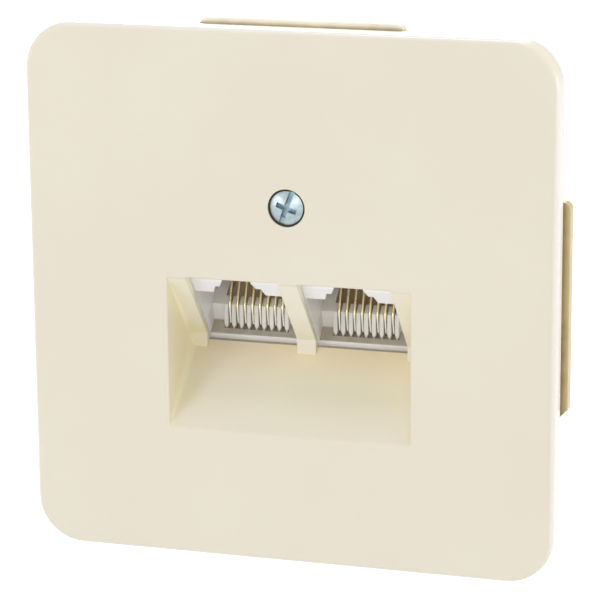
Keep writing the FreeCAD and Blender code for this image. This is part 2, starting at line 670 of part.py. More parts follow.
def rounded_path(points, radii):
    """Edges through (n, u) points, with a tangent arc at each inner point."""
    vectors = [V(0, n, u) for n, u in points]
    edges = []
    start = vectors[0]
    for corner, before, after, radius in zip(vectors[1:-1], vectors, vectors[2:], radii):
        back = (before - corner).normalize()
        ahead = (after - corner).normalize()
        half_angle = back.getAngle(ahead) / 2
        reach = radius / tan(half_angle)
        middle_way = (back + ahead).normalize()
        enter = corner + back * reach
        leave = corner + ahead * reach
        crown = corner + middle_way * (radius / sin(half_angle) - radius)
        edges.append(Part.LineSegment(start, enter).toShape())
        edges.append(Part.Arc(enter, crown, leave).toShape())
        start = leave
    edges.append(Part.LineSegment(start, vectors[-1]).toShape())
    return edges


def contact_wire(row):
    """One spring wire: tail through the board, track under the insert, fold and free limb."""
    tail_u = WIRE_TRACK_U + row * ROW_STEP
    tail_end = BOARD_BACK + WIRE_PIN_PROUD
    points = [(tail_end, tail_u)]
    radii = []
    if row:
        points += [(JACK_LENGTH - FIT_GAP, tail_u), (CAVITY_DEPTH + FIT_GAP, WIRE_TRACK_U)]
        radii += [WIRE_BEND_R, WIRE_BEND_R]
    points += [(WIRE_BEND_DEPTH, WIRE_TRACK_U), WIRE_KNEE, WIRE_TIP]
    radii += [WIRE_BEND_R, WIRE_KNEE_R]
    spine = Part.Wire(rounded_path(points, radii))
    disc = Part.Wire(Part.makeCircle(WIRE_R, V(0, *points[0]), V(0, 1, 0)))
    return spine.makePipeShell([disc], True, False)


def contact_wires(side):
    """The eight wires of one port, their tails in two rows."""
    wires = []
    for i, x in enumerate(contact_places()):
        wire = contact_wire(i % 2)
        wire.translate(V(port_x(side) + x, 0, 0))
        wires.append(tilted(wire))
    return Part.makeCompound(wires)


# ================================================================ board and terminals
def circuit_board():
    """Board behind the ports, parallel to their faces."""
    half = BOARD_WIDTH / 2
    board = box(-half, half, BOARD_FRONT, BOARD_BACK, BOARD_BOTTOM, BOARD_TOP)
    holes = []
    for side in SIDES.values():
        for i, x in enumerate(contact_places()):
            holes.append(rod(port_x(side) + x, WIRE_TRACK_U + (i % 2) * ROW_STEP, BOARD_HOLE_R,
                             BOARD_FRONT, BOARD_BACK))
        for x in (-PEG_X, PEG_X):
            holes.append(rod(port_x(side) + x, PEG_U, PEG_R + THREAD_CLEARANCE, BOARD_FRONT, BOARD_BACK))
        holes.append(rod(side * BOARD_SCREW_X, BOARD_SCREW_U, BOARD_SCREW_R + BOARD_SCREW_CLEARANCE,
                         BOARD_FRONT, BOARD_BACK))
    for u in (BLOCK_UPPER_U, BLOCK_LOWER_U):
        for x in terminal_places():
            holes.append(rod(x, u, hypot(IDC_PIN, IDC_THICKNESS) / 2 + FIT_GAP / 2,
                             BOARD_FRONT, BOARD_BACK))
    return tilted(board.cut(holes))


def idc_block(u):
    """Terminal strip: a base bar with two rows of pillars that guide the cable's wires."""
    half = BLOCK_LENGTH / 2
    rise = BLOCK_HEIGHT / 2
    back = BOARD_BACK + BLOCK_DEPTH
    base_back = BOARD_BACK + BLOCK_BASE
    block = box(-half, half, BOARD_BACK, back, u - rise, u + rise)
    cuts = [box(-half, half, base_back, back, u - TERMINAL_GROOVE / 2, u + TERMINAL_GROOVE / 2)]
    for x in terminal_places():
        cuts.append(box(x - TERMINAL_SLOT / 2, x + TERMINAL_SLOT / 2, base_back, back,
                        u - rise, u + rise))
        wide = IDC_WIDTH / 2 + FIT_GAP
        thick = IDC_THICKNESS / 2 + FIT_GAP
        cuts.append(box(x - wide, x + wide, BOARD_BACK + IDC_FOOT, base_back, u - thick, u + thick))
        wide = IDC_PIN / 2 + FIT_GAP
        cuts.append(box(x - wide, x + wide, BOARD_BACK, BOARD_BACK + IDC_FOOT, u - thick, u + thick))
    return tilted(block.cut(cuts))


def idc_contacts(u):
    """Eight slit contacts standing in a strip's groove."""
    back = BOARD_BACK + BLOCK_DEPTH - IDC_SINK
    foot = BOARD_BACK + IDC_FOOT
    thick = IDC_THICKNESS / 2
    contacts = []
    for x in terminal_places():
        wide = IDC_WIDTH / 2
        blade = box(x - wide, x + wide, foot, back, u - thick, u + thick)
        slit = box(x - IDC_SLIT / 2, x + IDC_SLIT / 2, back - IDC_SLIT_DEPTH, back,
                   u - thick, u + thick)
        lead_in = slab([(x - IDC_THICKNESS, back), (x, back - 2 * IDC_THICKNESS),
                        (x + IDC_THICKNESS, back)], u - thick, u + thick)
        pin = box(x - IDC_PIN / 2, x + IDC_PIN / 2, BOARD_FRONT, foot, u - thick, u + thick)
        contacts.append(tilted(union([blade, pin]).cut([slit, lead_in])))
    return Part.makeCompound(contacts)


# ================================================================ screws
def pan_screw(radius, head_r, head, length):
    """Pan-head screw with a cross recess: head towards -Y, its seat at y = 0."""
    top = Part.makeCylinder(head_r, head, V(0, -head, 0), V(0, 1, 0))
    top = top.makeFillet(head * 0.45, [e for e in top.Edges if e.BoundBox.YMax < -head + 1e-6])
    shank = rod(0, 0, radius, -head / 2, length)
    reach = head_r * 0.6
    half = DRIVE_SLOT / 2
    depth = min(DRIVE_DEPTH, head * 0.7)
    cross = [box(-half, half, -head - 1, depth - head, -reach, reach),
             box(-reach, reach, -head - 1, depth - head, -half, half)]
    return union([top, shank]).cut(cross)


def ring_screws():
    """Four screws from the ring's front into the carrier."""
    screws = []
    for x, z in ring_screw_places():
        screw = pan_screw(RING_SCREW_R, RING_SCREW_HEAD_R, RING_SCREW_HEAD, RING_SCREW_LENGTH)
        screw.translate(V(x, RING_FRONT, z))
        screws.append(screw)
    return Part.makeCompound(screws)


def turned_back(screw):
    """Turn a screw round, so that its head points to +Y."""
    screw.rotate(V(0, 0, 0), V(0, 0, 1), 180)
    return screw


def board_screws():
    """Two screws that hold the board to the carrier."""
    screws = []
    for side in SIDES.values():
        screw = turned_back(pan_screw(BOARD_SCREW_R, BOARD_SCREW_HEAD_R, BOARD_SCREW_HEAD,
                                      BOARD_SCREW_LENGTH))
        screw.translate(V(side * BOARD_SCREW_X, BOARD_BACK, BOARD_SCREW_U))
        screws.append(tilted(screw))
    return Part.makeCompound(screws)


# ================================================================ carrier
def carrier_cheek():
    """Section of the carrier's side walls, as (y, z) points."""
    board_low = tilted_point(BOARD_BACK, BOARD_BOTTOM)
    board_high = tilted_point(BOARD_BACK, BOARD_TOP)
    shelf_back = CLAMP_SHELF_Y + CLAMP_SHELF
    return [(0, FLANGE_TOP_START + CARRIER_WALL), (0, FLANGE_BOTTOM_START - CARRIER_WALL),
            (FLANGE_THICKNESS, FLANGE_BOTTOM_START - CARRIER_WALL),
            (CLAMP_SHELF_Y, CLAMP_SHELF_BOTTOM), (shelf_back, CLAMP_SHELF_BOTTOM),
            (shelf_back, CLAMP_SHELF_TOP), board_low, board_high,
            (FLANGE_THICKNESS, FLANGE_TOP_START + CARRIER_WALL)]


def carrier_flange(start, sign):
    """Flange behind the ring, with the bosses for two ring screws."""
    half = FLANGE_WIDTH / 2
    reach = sign * FLANGE_REACH
    tongue = box(-half, half, 0, FLANGE_THICKNESS, min(start, reach), max(start, reach))
    end = start + sign * CARRIER_WALL
    bar = box(-CARRIER_OUTER, CARRIER_OUTER, 0, FLANGE_THICKNESS, min(start, end), max(start, end))
    bosses = [rod(x, z, RING_BOSS_R, 0, RING_BOSS_LENGTH) for x, z in ring_screw_places()
              if z * sign > 0]
    return [tongue, bar] + bosses


def carrier_plates():
    """Plates above and below the jacks, in the slanted frame."""
    inner = CARRIER_INNER
    top = box(-inner, inner, TOP_PLATE_START, BOARD_FRONT, JACK_TOP + FIT_GAP,
              JACK_TOP + FIT_GAP + SHELF_PLATE)
    underside = JACK_BOTTOM - FIT_GAP - BOTTOM_PLATE
    bottom = box(-inner, inner, BOTTOM_PLATE_START, BOARD_FRONT, underside, JACK_BOTTOM - FIT_GAP)
    web = box(-inner, inner, BOTTOM_PLATE_START, BOTTOM_PLATE_START + BOTTOM_WEB,
              underside - BOTTOM_WEB_HEIGHT, underside)
    pieces = [top, bottom, web]
    for side in SIDES.values():
        x = side * BOARD_SCREW_X
        pieces.append(rod(x, BOARD_SCREW_U, BOARD_BOSS_R, BOARD_FRONT - BOARD_BOSS_LENGTH, BOARD_FRONT))
        pieces.append(board_hook(side))
    return [tilted(piece) for piece in pieces]


def board_hook(side):
    """Nose on a cheek that holds the board's edge from behind."""
    root = side * (CARRIER_INNER + CARRIER_WALL / 2)
    tip = side * (CARRIER_INNER - HOOK_REACH)
    return slab([(root, BOARD_BACK), (tip, BOARD_BACK), (root, BOARD_BACK + HOOK_DEPTH)],
                HOOK_U - HOOK_LENGTH / 2, HOOK_U + HOOK_LENGTH / 2)


def carrier():
    """White base that holds the jacks, the board and the strain relief."""
    cheek = carrier_cheek()
    pieces = [prism(cheek, CARRIER_INNER, CARRIER_OUTER),
              prism(cheek, -CARRIER_OUTER, -CARRIER_INNER)]
    pieces += carrier_flange(FLANGE_TOP_START, 1)
    pieces += carrier_flange(FLANGE_BOTTOM_START, -1)
    pieces += carrier_plates()
    shelf = box(-CARRIER_OUTER, CARRIER_OUTER, CLAMP_SHELF_Y, CLAMP_SHELF_Y + CLAMP_SHELF,
                CLAMP_SHELF_BOTTOM, CLAMP_SHELF_TOP)
    body = union(pieces + [shelf])
    cuts = [rod(x, z, RING_SCREW_R, 0, RING_SCREW_LENGTH - RING_THICKNESS)
            for x, z in ring_screw_places()]
    for side in SIDES.values():
        cuts.append(tilted(rod(side * BOARD_SCREW_X, BOARD_SCREW_U, BOARD_SCREW_R,
                               BOARD_BACK - BOARD_SCREW_LENGTH, BOARD_BACK)))
    cuts += clamp_slots()
    behind_ring = box(-PLATE_SIZE, PLATE_SIZE, -PLATE_SIZE, 0, RING_WINDOW_TOP, PLATE_SIZE)
    return body.cut(cuts + [behind_ring])


# ================================================================ strain relief
def clamp_slots():
    """Slots in the carrier's shelf for the clamp's toothed legs."""
    inner = CLAMP_LEG_X - CLAMP_LEG_WIDTH / 2 - CLAMP_SLOT_CLEARANCE
    outer = CLAMP_LEG_X + CLAMP_LEG_WIDTH / 2 + CLAMP_TOOTH + CLAMP_SLOT_CLEARANCE
    rise = CLAMP_HEIGHT / 2 + CLAMP_SLOT_CLEARANCE
    slot = box(inner, outer, CLAMP_SHELF_Y, CLAMP_SHELF_Y + CLAMP_SHELF,
               CLAMP_Z - rise, CLAMP_Z + rise)
    return [slot, mirrored(slot)]


def clamp_leg():
    """Right leg of the clamp, with a row of ratchet teeth on its outer side."""
    front = CLAMP_SHELF_Y - CLAMP_LEG_PAST_SHELF
    back = CLAMP_SHELF_Y + CLAMP_SHELF + CLAMP_GAP
    inner = CLAMP_LEG_X - CLAMP_LEG_WIDTH / 2
    outer = CLAMP_LEG_X + CLAMP_LEG_WIDTH / 2
    rise = CLAMP_HEIGHT / 2
    outline = [(inner, back), (inner, front), (outer - CLAMP_TOOTH, front)]
    count = int((back - front) / CLAMP_TOOTH_PITCH)
    for i in range(count):
        y = front + i * CLAMP_TOOTH_PITCH
        outline.append((outer + CLAMP_TOOTH, y + CLAMP_TOOTH_PITCH))
        outline.append((outer, y + CLAMP_TOOTH_PITCH))
    outline.append((outer, back))
    return slab(outline, CLAMP_Z - rise, CLAMP_Z + rise)


def cable_clamp():
    """Bridge that is pressed down on the cables, with ridges and two ratchet legs."""
    half = CLAMP_LEG_X + CLAMP_LEG_WIDTH / 2
    rise = CLAMP_HEIGHT / 2
    front = CLAMP_SHELF_Y + CLAMP_SHELF + CLAMP_GAP
    bar = box(-half, half, front, front + CLAMP_THICKNESS, CLAMP_Z - rise, CLAMP_Z + rise)
    grip = CLAMP_LEG_X - CLAMP_LEG_WIDTH
    pieces = [bar, clamp_leg(), mirrored(clamp_leg())]
    for z in (CLAMP_Z - rise / 2, CLAMP_Z + rise / 2):
        ridge = [(front, z - CLAMP_RIDGE), (front - CLAMP_RIDGE, z), (front, z + CLAMP_RIDGE)]
        pieces.append(prism(ridge, -grip, grip))
    return union(pieces)


# ================================================================ claws
def claw_slot():
    """Slot in the claw's foot, long enough for the whole swing, as (x0, x1) from the pivot."""
    swing = radians(CLAW_SWING)
    arm = CLAW_FOOT_Y - PIVOT_Y
    offset = CLAW_SCREW_X - PIVOT_X
    swung = (offset - arm * sin(swing)) / cos(swing)
    low = swung - CLAW_SCREW_R / cos(swing) - CLAW_SHEET / 2 * tan(swing) - CLAW_SLOT_CLEARANCE
    high = offset + CLAW_SCREW_R + CLAW_SLOT_CLEARANCE
    return low, high


def claw_tooth(z0, z1):
    """One tooth at the end of the arm, pointing outwards."""
    outer = PIVOT_X + CLAW_REACH
    end = PIVOT_Y + CLAW_LENGTH
    points = [(outer - CLAW_SHEET, end), (outer + CLAW_TOOTH, end), (outer, end - 2 * CLAW_TOOTH)]
    tooth = slab(points, z0, z1)
    return tooth


def claw_right():
    """Sheet-steel claw: ears on the pin, a slotted foot on the screw, a toothed arm."""
    half = CLAW_WIDTH / 2
    foot_low = CLAW_FOOT_Y - CLAW_SHEET / 2
    foot_high = CLAW_FOOT_Y + CLAW_SHEET / 2
    inner = PIVOT_X + CLAW_FOOT_X0
    outer = PIVOT_X + CLAW_REACH
    foot = box(inner, outer, foot_low, foot_high, -half, half)
    arm = box(outer - CLAW_SHEET, outer, foot_low, PIVOT_Y + CLAW_LENGTH, -half, half)
    pieces = [foot, arm]
    for z in (half - CLAW_SHEET, -half):
        ear = Part.makeCylinder(CLAW_EAR_R, CLAW_SHEET, V(PIVOT_X, PIVOT_Y, z), V(0, 0, 1))
        web = slab([(inner, foot_high), (PIVOT_X - CLAW_EAR_R, PIVOT_Y),
                    (PIVOT_X + CLAW_EAR_R, PIVOT_Y), (outer, foot_low), (outer, foot_high)],
                   z, z + CLAW_SHEET)
        pieces += [ear, web]
    step = CLAW_WIDTH / CLAW_TOOTH_COUNT
    for i in range(CLAW_TOOTH_COUNT):
        z = -half + i * step
        pieces.append(claw_tooth(z + step * 0.2, z + step * 0.8))
    claw = union(pieces)
    pin_r = PIVOT_R + PIVOT_CLEARANCE
    pin_way = Part.makeCylinder(pin_r, CLAW_WIDTH, V(PIVOT_X, PIVOT_Y, -half), V(0, 0, 1))
    low, high = claw_slot()
    slot_half = CLAW_SCREW_R + CLAW_SLOT_CLEARANCE
    slot = box(PIVOT_X + low, PIVOT_X + high, foot_low - 1, foot_high + 1, -slot_half, slot_half)
    return claw.cut([pin_way, slot])


def claw_pin():
    """Pin through the ring's lugs, upset at both ends."""
    reach = CLAW_WIDTH / 2 + LUG_GAP + LUG_THICKNESS
    pin = Part.makeCylinder(PIVOT_R, 2 * reach, V(PIVOT_X, PIVOT_Y, -reach), V(0, 0, 1))
    low = Part.makeCone(PIVOT_R, PIVOT_R * 1.5, 0.5, V(PIVOT_X, PIVOT_Y, -reach), V(0, 0, -1))
    high = Part.makeCone(PIVOT_R, PIVOT_R * 1.5, 0.5, V(PIVOT_X, PIVOT_Y, reach), V(0, 0, 1))
    return union([pin, low, high])


def claw_screw():
    """Long screw that spreads the claw."""
    screw = pan_screw(CLAW_SCREW_R, CLAW_SCREW_HEAD_R, CLAW_SCREW_HEAD, CLAW_SCREW_TIP_Y - RING_FRONT)
    screw.translate(V(CLAW_SCREW_X, RING_FRONT, 0))
    return screw


# ================================================================ the whole part
def nodes():
    """Every node of the part, by name."""
    parts = {
        "cover_plate": cover_plate(),
        "cover_screw": cover_screw(),
        "cover_nut": cover_nut(),
        "screw_retainer": screw_retainer(),
        "support_ring": support_ring(),
        "carrier": carrier(),
        "circuit_board": circuit_board(),
        "idc_block_upper": idc_block(BLOCK_UPPER_U),
        "idc_block_lower": idc_block(BLOCK_LOWER_U),
        "idc_contacts_upper": idc_contacts(BLOCK_UPPER_U),
        "idc_contacts_lower": idc_contacts(BLOCK_LOWER_U),
        "ring_screws": ring_screws(),
        "board_screws": board_screws(),
        "cable_clamp": cable_clamp(),
        "claw_right": claw_right(),
        "claw_left": mirrored(claw_right()),
        "claw_pin_right": claw_pin(),
        "claw_pin_left": mirrored(claw_pin()),
        "claw_screw_right": claw_screw(),
        "claw_screw_left": mirrored(claw_screw()),
    }
    for name, side in SIDES.items():
        parts["jack_housing_" + name] = jack_housing(side)
        parts["contact_carrier_" + name] = contact_carrier(side)
        parts["contact_wires_" + name] = contact_wires(side)
    return parts


def main():
    os.makedirs("parts", exist_ok=True)
    for name, shape in sorted(nodes().items()):
        shape.exportStep("parts/" + name + ".step")
        print(name, len(shape.Solids), "valid" if shape.isValid() else "INVALID",
              round(shape.Volume, 2))


main()
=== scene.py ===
"""Looks for a two-port flush data outlet: finishes, fine detail, studio and camera.

Everything is in metres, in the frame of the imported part: +X right, +Y into the wall, +Z up.
"""

import json
import math

import bmesh
import bpy
from mathutils import Matrix, Vector

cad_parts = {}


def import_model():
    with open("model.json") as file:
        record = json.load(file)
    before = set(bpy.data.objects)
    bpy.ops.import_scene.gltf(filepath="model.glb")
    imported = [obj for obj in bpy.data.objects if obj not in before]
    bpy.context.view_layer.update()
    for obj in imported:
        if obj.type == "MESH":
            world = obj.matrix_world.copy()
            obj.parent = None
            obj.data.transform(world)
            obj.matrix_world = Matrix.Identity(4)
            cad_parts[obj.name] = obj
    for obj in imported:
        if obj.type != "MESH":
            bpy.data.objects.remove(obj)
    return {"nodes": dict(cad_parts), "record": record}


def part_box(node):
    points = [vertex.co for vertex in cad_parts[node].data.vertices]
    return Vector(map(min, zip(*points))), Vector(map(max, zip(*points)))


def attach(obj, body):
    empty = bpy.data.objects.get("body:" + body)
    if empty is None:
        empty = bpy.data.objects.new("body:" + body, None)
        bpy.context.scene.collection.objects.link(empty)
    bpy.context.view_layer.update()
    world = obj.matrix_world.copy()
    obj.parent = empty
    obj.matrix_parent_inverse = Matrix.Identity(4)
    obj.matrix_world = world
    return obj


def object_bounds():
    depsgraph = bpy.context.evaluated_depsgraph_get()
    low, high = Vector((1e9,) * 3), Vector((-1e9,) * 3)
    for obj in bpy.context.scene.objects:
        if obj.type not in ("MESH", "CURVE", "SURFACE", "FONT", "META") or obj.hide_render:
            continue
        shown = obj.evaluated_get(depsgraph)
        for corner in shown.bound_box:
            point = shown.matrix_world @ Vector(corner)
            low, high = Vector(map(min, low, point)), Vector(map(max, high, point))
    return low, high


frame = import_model()
cad_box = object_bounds()

MM = 0.001

# ---------------------------------------------------------------- camera, as the photograph was taken
CAMERA_AZIMUTH = 16.96       # degrees to the right of straight ahead
CAMERA_ELEVATION = 14.44
CAMERA_ROLL = -0.45
CAMERA_DISTANCE = 356.9 * MM
CAMERA_TARGET = (1.70 * MM, -6.5 * MM, 0.48 * MM)
CAMERA_LENS = 172.85
CAMERA_SENSOR = 36.0

# ---------------------------------------------------------------- studio
FLOOR_DROP = 60 * MM         # the outlet hangs this far above the floor, as it would on a wall
FLOOR_SIZE = 8.0
FLOOR_GLOW = 0.55            # what the camera sees of the floor besides its lit colour
WORLD_LEVEL = 0.47           # light of the white surroundings on the object

# ---------------------------------------------------------------- colours, linear
CREAM = (0.830, 0.771, 0.634)
CREAM_DARK = (0.815, 0.753, 0.609)
# Painted light: the plate's flanks are painted whiter.
FLANK_LIT_WHITE = (0.855, 0.815, 0.738)
JACK_WHITE = (0.930, 0.935, 0.955)
JACK_SHADE = (0.885, 0.890, 0.905)
# Painted light on the jacks' lips.
LIP_LIT_WHITE = (0.985, 0.965, 0.930)
NYLON = (0.800, 0.790, 0.740)
CARRIER_WHITE = (0.760, 0.755, 0.720)
TERMINAL_WHITE = (0.790, 0.785, 0.760)
INSERT_BROWN = (0.640, 0.510, 0.320)
GOLD = (0.950, 0.790, 0.480)
# Painted reflection: a pale tone on the contact wires' front bend and tail.
WIRE_REFLECTION_PALE = (0.640, 0.620, 0.540)
ZINC_BLUE = (0.395, 0.480, 0.500)
ZINC_SHADE = (0.270, 0.360, 0.410)
# Grime and painted shade in the screw's mouth.
GRIME_AND_SHADE = (0.240, 0.220, 0.150)
ZINC_GREY = (0.600, 0.620, 0.640)
ZINC_BRIGHT = (0.820, 0.830, 0.840)
PASSIVATE_YELLOW = (0.620, 0.500, 0.270)
PASSIVATE_OLIVE = (0.580, 0.500, 0.280)
PASSIVATE_ROSE = (0.640, 0.500, 0.310)
# Painted light on the ring's upper tab.
PASSIVATE_LIT_PALE = (0.920, 0.860, 0.740)
TIN = (0.640, 0.640, 0.650)
# Tints of the cream in and behind the recess, and of the comb in each jack, set by the photograph: painted
# light on the deep floor and the ribs, painted shade at the inner end, the left corner and the comb,
# painted warm bounce light on the side walls.
DEEP_LIGHT_TINT = (1.190, 1.195, 1.070)
WALL_BOUNCE_LIGHT_TINT = (1.050, 1.035, 0.895)
RIB_LIGHT_TINT = (1.105, 1.130, 1.150)
INNER_SHADE_TINT = (0.975, 0.895, 0.830)
CORNER_SHADE_TINT = (0.960, 0.960, 0.850)
COMB_SHADE_TINT = (0.860, 0.840, 0.770)
# Painted shade on the floors of the jacks' mouths.
MOUTH_FLOOR_SHADE = (0.440, 0.385, 0.300)
BOARD_GREEN = (0.020, 0.130, 0.055)
BOARD_GREEN_LIGHT = (0.030, 0.180, 0.075)
TRACE_GREEN = (0.060, 0.270, 0.120)

# ---------------------------------------------------------------- scales of the surfaces' patterns
FLOW_SIZE = 18 * MM          # a moulding's flow marks
SPECK_SIZE = 0.9 * MM
RUB_SIZE = 6 * MM            # patches rubbed smoother
SINK_SIZE = 9 * MM           # slow hollows over thick walls
SINK_HEIGHT = 0.02 * MM
GRAIN_SIZE = 0.35 * MM
GRAIN_HEIGHT = 0.004 * MM
FINE_GRAIN_SIZE = 0.2 * MM   # on the hidden mouldings
FINE_GRAIN_HEIGHT = 0.01 * MM
MOUTH_SHADE_PATCH_SIZE = 1.1 * MM
ROLLED_GRAIN_SIZE = 0.25 * MM
SCUFF_SIZE = 1.6 * MM
WEAR_SIZE = 0.8 * MM
WEAVE_SIZE = 0.4 * MM
WEAVE_HEIGHT = 0.008 * MM
EDGE_R = 0.12 * MM           # how far sharp edges are rounded
WEAR_R = 0.15 * MM           # how far from an edge a finish is rubbed thin

# ---------------------------------------------------------------- places on the part, from the CAD
PLATE_LOW, PLATE_HIGH = (Vector(corner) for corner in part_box("cover_plate"))
SCREW_LOW, SCREW_HIGH = (Vector(corner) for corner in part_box("cover_screw"))
PLATE_FACE = PLATE_LOW.y
PLATE_HALF = PLATE_HIGH.x
OPENING_HALF = 15.8 * MM
OPENING_BOTTOM = -17.4 * MM
FLOOR_RISE = 1.05            # the recess's floor climbs this much for each step inwards
SCREW_AXIS_Z = (SCREW_LOW.z + SCREW_HIGH.z) / 2
SCREW_HEAD_R = (SCREW_HIGH.x - SCREW_LOW.x) / 2
PORT_TILT = math.radians(40.0)
PORT_ORIGIN = Vector((0.0, PLATE_FACE + 3.6 * MM, -0.2 * MM))
MOUTH_U = -9.25 * MM         # the mouth's floor, in the ports' slanted frame
OPENING_U = -6.8 * MM        # the plug's lower side
BOARD_BACK_N = 14.6 * MM     # the circuit board's back
BLOCK_HALF = 3.6 * MM        # half a terminal strip's height on the board
BLOCK_ROWS = (1.0 * MM, -16.0 * MM)
PORT_X = 7.32 * MM           # middle of each port
CONTACT_PITCH = 1.016 * MM
PINS = 8                     # contacts in a port
TAIL_ROWS = (-9.4 * MM, -7.8 * MM)
CLAW_SCREW_X = 24.0 * MM
CLAW_SCREW_R = 1.45 * MM
PLATE_BACK = PLATE_FACE + 2.0 * MM
FLANK_DEPTH = 0.35 * MM      # the plate's flanks, in from its outer sides
GRIME_SHADE_REACH = 0.32 * MM      # grime and painted shade in the screw's mouth: past the head's rim, and below the plate's face
GRIME_SHADE_DEPTH = 0.06 * MM
SCREW_SHADE_DEPTH = 0.33 * MM
LIT_STRIP_DEPTH = 0.1 * MM        # the ring's pale strip of painted light starts this far below the plate's upper flank
FLANGE_BACK = 2.2 * MM       # back of the carrier's flanges
FLANGE_MARKS = (21.5 * MM, -23.2 * MM)

# ---------------------------------------------------------------- where the painted light and shade start
FLOOR_SKIN = 0.08 * MM       # the floor's own face: nothing higher over its plane takes its tints
WALL_INSET = 0.5 * MM        # the side walls' faces, in from the opening's sides
WALL_SKIN = 0.1 * MM         # and out from them
WALL_DEPTH = 0.5 * MM        # depths are measured from the plate's face
DEEP_X = -9 * MM
DEEP_DEPTH = 4 * MM
INNER_DEPTH = 7 * MM
RIB_DEPTH = 0.2 * MM
RIB_U = MOUTH_U + 4.5 * MM
CORNER_WIDTH = 3.0 * MM
CORNER_DEPTH = 2 * MM
CORNER_U = MOUTH_U + 3 * MM
COMB_N = 0.9 * MM            # the comb between the contacts, in from the port's mouth
LIP_N = 0.12 * MM            # the lip's front face ends here and the mouth's floor begins

# ---------------------------------------------------------------- fine pieces
THREAD_PITCH = 0.7 * MM
THREAD_HEIGHT = 0.11 * MM
THREAD_SINK = 0.08 * MM      # how far a piece's foot goes into what carries it
THREAD_STEPS = 28            # points in a turn
THREAD_START = 0.4 * MM      # the thread's ends on the claw screws
THREAD_END = 13.7 * MM
THREAD_HALF = 0.42           # half the ridge's foot, as a share of the pitch
THREAD_CREST = 0.15          # half its crest, as a share of half the foot
TRACE_WIDTH = 0.26 * MM
TRACE_HEIGHT = 0.04 * MM
FAN_STEP = 0.5 * MM          # how much further apart the traces run at a strip than at the pins
TRACE_BEND = 1.1 * MM        # where a trace starts to fan out, past the outer row of pins
TRACE_END = 0.5 * MM         # how far it runs under the strip
MARK_WIDTH = 0.14 * MM
MARK_HEIGHT = 0.05 * MM
PLATE_MARK_R = 1.0 * MM
PLATE_MARK_NEAR = 25.0 * MM  # the plate's marks stand at (near, far) and (far, near) in each corner
PLATE_MARK_FAR = 30.5 * MM
FLANGE_MARK_R = 1.6 * MM
# A solder joint in section, as (radius, height) in millimetres: foot, cone, tip and back to the pin.
SOLDER_PROFILE = ((0.55, -0.05), (0.55, 0.03), (0.40, 0.10), (0.29, 0.24), (0.23, 0.40), (0.12, 0.44),
                  (0.12, -0.05))


# ================================================================ node helpers
def add(tree, kind, **values):
    """Add a shader node; values are sockets by name, or attributes of the node."""
    node = tree.nodes.new(kind)
    for name, value in values.items():
        if hasattr(node, name):
            setattr(node, name, value)
        else:
            node.inputs[name.replace("_", " ")].default_value = value
    return node


def rgba(colour):
    """A colour with full alpha."""
    return (*colour, 1.0)


def object_coordinates(tree):
    """Position on the part, in metres."""
    return add(tree, "ShaderNodeTexCoord").outputs["Object"]


def noise(tree, where, size, detail=3.0, stretch=None):
    """Noise with features of a size in metres; stretch scales the pattern along each axis."""
    if stretch:
        mapping = add(tree, "ShaderNodeMapping")
        mapping.inputs["Scale"].default_value = stretch
        tree.links.new(where, mapping.inputs["Vector"])
        where = mapping.outputs["Vector"]
    node = add(tree, "ShaderNodeTexNoise", Scale=1.0 / size, Detail=detail)
    tree.links.new(where, node.inputs["Vector"])
    return node.outputs["Fac"]


def ramp(tree, fac, stops):
    """Colour ramp from (position, colour) pairs."""
    node = add(tree, "ShaderNodeValToRGB")
    elements = node.color_ramp.elements
    while len(elements) < len(stops):
        elements.new(0.5)
    for element, (position, colour) in zip(elements, stops):
        element.position = position
        element.color = rgba(colour)
    tree.links.new(fac, node.inputs["Fac"])
    return node.outputs["Color"]


def remap(tree, value, low, high, start=0.3, end=0.7):
    """Map a noise value to a range."""
    node = add(tree, "ShaderNodeMapRange")
    node.inputs["From Min"].default_value = start
    node.inputs["From Max"].default_value = end
    node.inputs["To Min"].default_value = low
    node.inputs["To Max"].default_value = high
    tree.links.new(value, node.inputs["Value"])
    return node.outputs["Result"]


def math_node(tree, operation, a, b=0.0):
    """Arithmetic on sockets or numbers."""
    node = add(tree, "ShaderNodeMath", operation=operation)
    for socket, value in zip(node.inputs, (a, b)):
        if isinstance(value, float):
            socket.default_value = value
        else:
            tree.links.new(value, socket)
    return node.outputs["Value"]


def length_of(tree, a, b):
    """Length of a flat vector from its two coordinates."""
    squares = [math_node(tree, "POWER", value, 2.0) for value in (a, b)]
    return math_node(tree, "SQRT", math_node(tree, "ADD", *squares))


def split(tree, where):
    """The three coordinates of a position."""
    node = add(tree, "ShaderNodeSeparateXYZ")
    tree.links.new(where, node.inputs["Vector"])
    return [node.outputs[axis] for axis in "XYZ"]


def slanted(tree, where):
    """Position in the ports' frame: x, n along the plug's way in, u up the ports' face."""
    turn = Matrix.Rotation(-PORT_TILT, 3, "X")
    mapping = add(tree, "ShaderNodeMapping")
    mapping.inputs["Rotation"].default_value = (-PORT_TILT, 0.0, 0.0)
    mapping.inputs["Location"].default_value = -(turn @ PORT_ORIGIN)
    tree.links.new(where, mapping.inputs["Vector"])
    return mapping.outputs["Vector"]


def above(tree, value, level, soft=0.1 * MM):
    """0 below a level and 1 above it, over a soft width."""
    return remap(tree, value, 0.0, 1.0, start=level - soft / 2, end=level + soft / 2)


def below(tree, value, level, soft=0.1 * MM):
    """1 below a level and 0 above it, over a soft width."""
    return remap(tree, value, 1.0, 0.0, start=level - soft / 2, end=level + soft / 2)


def both(tree, *masks):
    """Product of masks."""
    result = masks[0]
    for mask in masks[1:]:
        result = math_node(tree, "MULTIPLY", result, mask)
    return result


